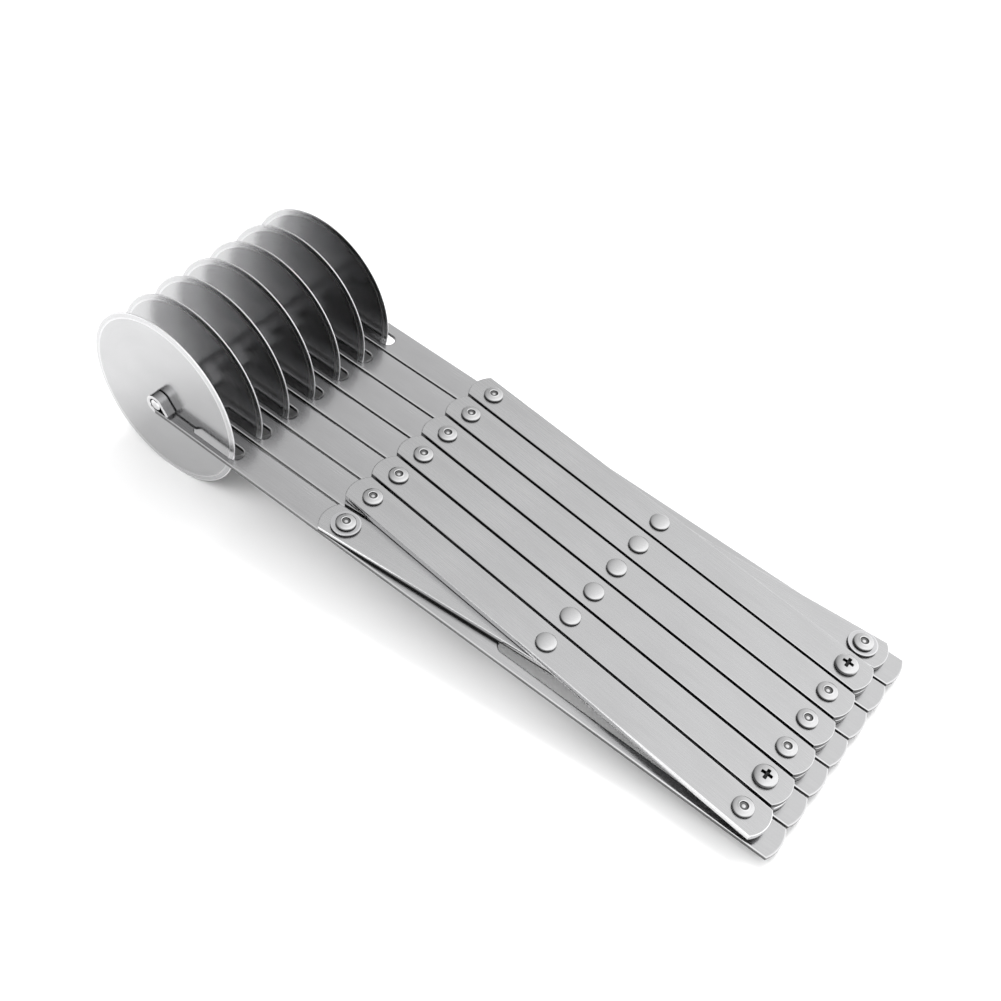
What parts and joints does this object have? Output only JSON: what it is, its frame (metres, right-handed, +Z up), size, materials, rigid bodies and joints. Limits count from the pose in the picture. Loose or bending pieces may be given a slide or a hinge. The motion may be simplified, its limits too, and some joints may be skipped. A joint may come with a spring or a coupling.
{
  "type": "expanding pastry cutter",
  "caption": "Expanding pastry cutter: round cutting wheels in forked flat arms on a lazy-tongs frame of riveted steel bars that widens the wheel spacing.",
  "frame": {"origin": "bottom centre of the bounding box, on the table that the wheels and the rear screws rest on", "axes": "+X along the arms from the wheels to the rear end, +Y across the wheels from the first to the last, +Z up"},
  "size_m": [0.2316, 0.0762, 0.055],
  "materials": {
    "arm_steel": "satin stainless steel strip",
    "bar_steel": "satin stainless steel strip",
    "wheel_steel": "fine ground stainless steel with a bright bevelled rim",
    "rivet_steel": "bright turned steel",
    "zinc_steel": "plated steel"
  },
  "bodies": {
    "arm_1": {"arm_1": "arm_steel", "axle_1": "rivet_steel", "front_rivet_1": "rivet_steel", "front_washer_1": "zinc_steel"},
    "arm_2": {"arm_2": "arm_steel", "axle_2": "rivet_steel", "front_rivet_2": "rivet_steel"},
    "arm_3": {"arm_3": "arm_steel", "axle_3": "rivet_steel", "front_rivet_3": "rivet_steel"},
    "arm_4": {"arm_4": "arm_steel", "axle_4": "rivet_steel", "front_rivet_4": "rivet_steel"},
    "arm_5": {"arm_5": "arm_steel", "axle_5": "rivet_steel", "front_rivet_5": "rivet_steel"},
    "arm_6": {"arm_6": "arm_steel", "axle_6": "rivet_steel", "front_rivet_6": "rivet_steel"},
    "arm_7": {"arm_7": "arm_steel", "axle_7": "rivet_steel", "front_rivet_7": "rivet_steel", "front_spacer_7": "zinc_steel"},
    "top_bar_1": {"top_bar_1": "bar_steel", "middle_rivet_1": "rivet_steel", "rear_rivet_1": "rivet_steel", "rear_spacer_1": "zinc_steel"},
    "top_bar_2": {"top_bar_2": "bar_steel", "middle_rivet_2": "rivet_steel"},
    "top_bar_3": {"top_bar_3": "bar_steel", "middle_rivet_3": "rivet_steel"},
    "top_bar_4": {"top_bar_4": "bar_steel", "middle_rivet_4": "rivet_steel"},
    "top_bar_5": {"top_bar_5": "bar_steel", "middle_rivet_5": "rivet_steel"},
    "top_bar_6": {"top_bar_6": "bar_steel", "middle_rivet_6": "rivet_steel"},
    "bottom_bar_1": {"bottom_bar_1": "bar_steel", "rear_screw_2": "rivet_steel", "rear_nut_2": "zinc_steel"},
    "bottom_bar_2": {"bottom_bar_2": "bar_steel", "rear_rivet_3": "rivet_steel"},
    "bottom_bar_3": {"bottom_bar_3": "bar_steel", "rear_rivet_4": "rivet_steel"},
    "bottom_bar_4": {"bottom_bar_4": "bar_steel", "rear_rivet_5": "rivet_steel"},
    "bottom_bar_5": {"bottom_bar_5": "bar_steel", "rear_screw_6": "rivet_steel", "rear_nut_6": "zinc_steel"},
    "bottom_bar_6": {"bottom_bar_6": "bar_steel", "rear_rivet_7": "rivet_steel", "rear_washer_7": "zinc_steel"},
    "wheel_1": {"wheel_1": "wheel_steel"},
    "wheel_2": {"wheel_2": "wheel_steel"},
    "wheel_3": {"wheel_3": "wheel_steel"},
    "wheel_4": {"wheel_4": "wheel_steel"},
    "wheel_5": {"wheel_5": "wheel_steel"},
    "wheel_6": {"wheel_6": "wheel_steel"},
    "wheel_7": {"wheel_7": "wheel_steel"}
  },
  "joints": [
    {"name": "frame_spread", "type": "hinge", "parent": "arm_4", "child": "bottom_bar_4", "pos_m": [-0.022, 0, 0.01763], "axis": [0.1088, 0, 0.9941], "range_deg": [0, 59]},
    {"name": "front_pivot_4_top_bar", "type": "hinge", "parent": "arm_4", "child": "top_bar_3", "pos_m": [-0.022, 0, 0.01763], "axis": [0.1088, 0, 0.9941], "range_deg": [-59, 0]},
    {"name": "middle_pivot_3", "type": "hinge", "parent": "top_bar_3", "child": "bottom_bar_3", "pos_m": [0.04076, -0.00544, 0.01076], "axis": [0.1088, 0, 0.9941], "range_deg": [0, 118]},
    {"name": "front_pivot_3_arm", "type": "hinge", "parent": "bottom_bar_3", "child": "arm_3", "pos_m": [-0.022, -0.01088, 0.01763], "axis": [0.1088, 0, 0.9941], "range_deg": [-59, 0]},
    {"name": "front_pivot_3_top_bar", "type": "hinge", "parent": "bottom_bar_3", "child": "top_bar_2", "pos_m": [-0.022, -0.01088, 0.01763], "axis": [0.1088, 0, 0.9941], "range_deg": [-118, 0]},
    {"name": "middle_pivot_2", "type": "hinge", "parent": "top_bar_2", "child": "bottom_bar_2", "pos_m": [0.04076, -0.01632, 0.01076], "axis": [0.1088, 0, 0.9941], "range_deg": [0, 118]},
    {"name": "front_pivot_2_arm", "type": "hinge", "parent": "bottom_bar_2", "child": "arm_2", "pos_m": [-0.022, -0.02176, 0.01763], "axis": [0.1088, 0, 0.9941], "range_deg": [-59, 0]},
    {"name": "front_pivot_2_top_bar", "type": "hinge", "parent": "bottom_bar_2", "child": "top_bar_1", "pos_m": [-0.022, -0.02176, 0.01763], "axis": [0.1088, 0, 0.9941], "range_deg": [-118, 0]},
    {"name": "middle_pivot_1", "type": "hinge", "parent": "top_bar_1", "child": "bottom_bar_1", "pos_m": [0.04076, -0.0272, 0.01076], "axis": [0.1088, 0, 0.9941], "range_deg": [0, 118]},
    {"name": "front_pivot_1_arm", "type": "hinge", "parent": "bottom_bar_1", "child": "arm_1", "pos_m": [-0.022, -0.03264, 0.01763], "axis": [0.1088, 0, 0.9941], "range_deg": [-59, 0]},
    {"name": "middle_pivot_4", "type": "hinge", "parent": "bottom_bar_4", "child": "top_bar_4", "pos_m": [0.04076, 0.00544, 0.01076], "axis": [0.1088, 0, 0.9941], "range_deg": [-118, 0]},
    {"name": "front_pivot_5_arm", "type": "hinge", "parent": "top_bar_4", "child": "arm_5", "pos_m": [-0.022, 0.01088, 0.01763], "axis": [0.1088, 0, 0.9941], "range_deg": [0, 59]},
    {"name": "front_pivot_5_bottom_bar", "type": "hinge", "parent": "top_bar_4", "child": "bottom_bar_5", "pos_m": [-0.022, 0.01088, 0.01763], "axis": [0.1088, 0, 0.9941], "range_deg": [0, 118]},
    {"name": "middle_pivot_5", "type": "hinge", "parent": "bottom_bar_5", "child": "top_bar_5", "pos_m": [0.04076, 0.01632, 0.01076], "axis": [0.1088, 0, 0.9941], "range_deg": [-118, 0]},
    {"name": "front_pivot_6_arm", "type": "hinge", "parent": "top_bar_5", "child": "arm_6", "pos_m": [-0.022, 0.02176, 0.01763], "axis": [0.1088, 0, 0.9941], "range_deg": [0, 59]},
    {"name": "front_pivot_6_bottom_bar", "type": "hinge", "parent": "top_bar_5", "child": "bottom_bar_6", "pos_m": [-0.022, 0.02176, 0.01763], "axis": [0.1088, 0, 0.9941], "range_deg": [0, 118]},
    {"name": "middle_pivot_6", "type": "hinge", "parent": "bottom_bar_6", "child": "top_bar_6", "pos_m": [0.04076, 0.0272, 0.01076], "axis": [0.1088, 0, 0.9941], "range_deg": [-118, 0]},
    {"name": "front_pivot_7_arm", "type": "hinge", "parent": "top_bar_6", "child": "arm_7", "pos_m": [-0.022, 0.03264, 0.01763], "axis": [0.1088, 0, 0.9941], "range_deg": [0, 59]},
    {"name": "wheel_spin_1", "type": "hinge", "parent": "arm_1", "child": "wheel_1", "pos_m": [-0.08832, -0.03264, 0.0275], "axis": [0, 1, 0], "continuous": true},
    {"name": "wheel_spin_2", "type": "hinge", "parent": "arm_2", "child": "wheel_2", "pos_m": [-0.08832, -0.02176, 0.0275], "axis": [0, 1, 0], "continuous": true},
    {"name": "wheel_spin_3", "type": "hinge", "parent": "arm_3", "child": "wheel_3", "pos_m": [-0.08832, -0.01088, 0.0275], "axis": [0, 1, 0], "continuous": true},
    {"name": "wheel_spin_4", "type": "hinge", "parent": "arm_4", "child": "wheel_4", "pos_m": [-0.08832, 0, 0.0275], "axis": [0, 1, 0], "continuous": true},
    {"name": "wheel_spin_5", "type": "hinge", "parent": "arm_5", "child": "wheel_5", "pos_m": [-0.08832, 0.01088, 0.0275], "axis": [0, 1, 0], "continuous": true},
    {"name": "wheel_spin_6", "type": "hinge", "parent": "arm_6", "child": "wheel_6", "pos_m": [-0.08832, 0.02176, 0.0275], "axis": [0, 1, 0], "continuous": true},
    {"name": "wheel_spin_7", "type": "hinge", "parent": "arm_7", "child": "wheel_7", "pos_m": [-0.08832, 0.03264, 0.0275], "axis": [0, 1, 0], "continuous": true}
  ],
  "couplings": [
    {"joint": "front_pivot_4_top_bar", "follows": "frame_spread", "ratio": -1},
    {"joint": "middle_pivot_3", "follows": "frame_spread", "ratio": 2},
    {"joint": "front_pivot_3_arm", "follows": "frame_spread", "ratio": -1},
    {"joint": "front_pivot_3_top_bar", "follows": "frame_spread", "ratio": -2},
    {"joint": "middle_pivot_2", "follows": "frame_spread", "ratio": 2},
    {"joint": "front_pivot_2_arm", "follows": "frame_spread", "ratio": -1},
    {"joint": "front_pivot_2_top_bar", "follows": "frame_spread", "ratio": -2},
    {"joint": "middle_pivot_1", "follows": "frame_spread", "ratio": 2},
    {"joint": "front_pivot_1_arm", "follows": "frame_spread", "ratio": -1},
    {"joint": "middle_pivot_4", "follows": "frame_spread", "ratio": -2},
    {"joint": "front_pivot_5_arm", "follows": "frame_spread", "ratio": 1},
    {"joint": "front_pivot_5_bottom_bar", "follows": "frame_spread", "ratio": 2},
    {"joint": "middle_pivot_5", "follows": "frame_spread", "ratio": -2},
    {"joint": "front_pivot_6_arm", "follows": "frame_spread", "ratio": 1},
    {"joint": "front_pivot_6_bottom_bar", "follows": "frame_spread", "ratio": 2},
    {"joint": "middle_pivot_6", "follows": "frame_spread", "ratio": -2},
    {"joint": "front_pivot_7_arm", "follows": "frame_spread", "ratio": 1}
  ]
}
